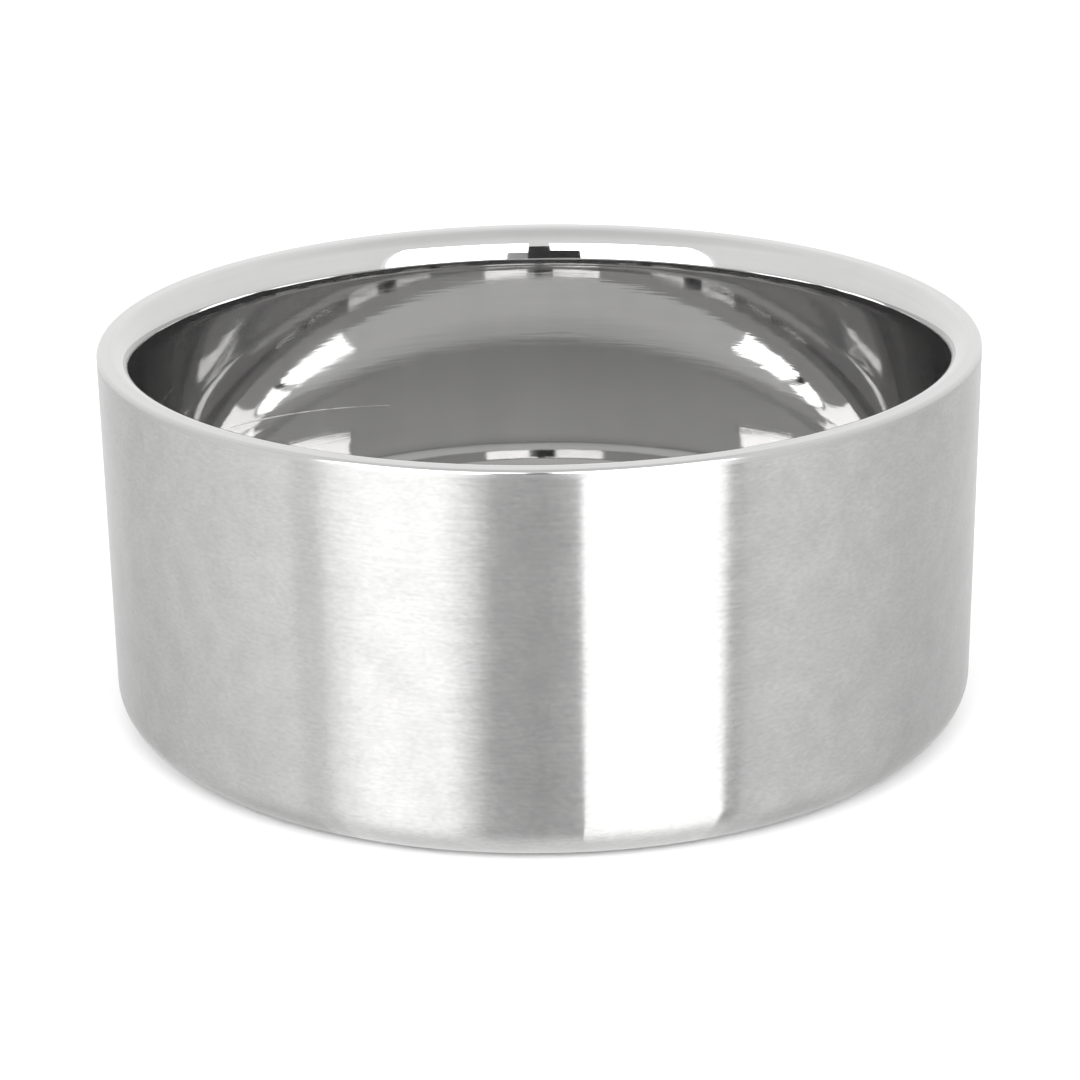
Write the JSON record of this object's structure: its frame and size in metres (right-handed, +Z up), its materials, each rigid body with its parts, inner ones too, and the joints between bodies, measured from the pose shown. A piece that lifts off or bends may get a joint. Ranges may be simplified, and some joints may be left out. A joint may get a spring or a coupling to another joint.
{
  "type": "double-walled shaving bowl",
  "caption": "Round double-walled steel shaving bowl with a brushed outer shell, a polished inner liner and a broad rounded lip.",
  "frame": {"origin": "centre of the base, on the surface that the bowl stands on", "axes": "+Z up the bowl's axis of rotation, towards its mouth; X and Y are alike, since every piece is round"},
  "size_m": [0.102, 0.102, 0.045],
  "materials": {
    "outer_shell_brushed": "brushed round the wall, fine grain",
    "inner_liner_polished": "mirror polished stainless steel with faint hairlines",
    "rim_weld_ground": "ground flush; brushed with the wall, and polished on top with the lip",
    "vent_plug_plain": "plain turned",
    "base_cover_brushed": "turned, fine circular grain",
    "base_weld_satin": "satin weld bead"
  },
  "bodies": {
    "root": {"outer_shell": "outer_shell_brushed", "inner_liner": "inner_liner_polished", "rim_weld": "rim_weld_ground", "vent_plug": "vent_plug_plain", "base_cover": "base_cover_brushed", "base_weld": "base_weld_satin"}
  },
  "joints": []
}
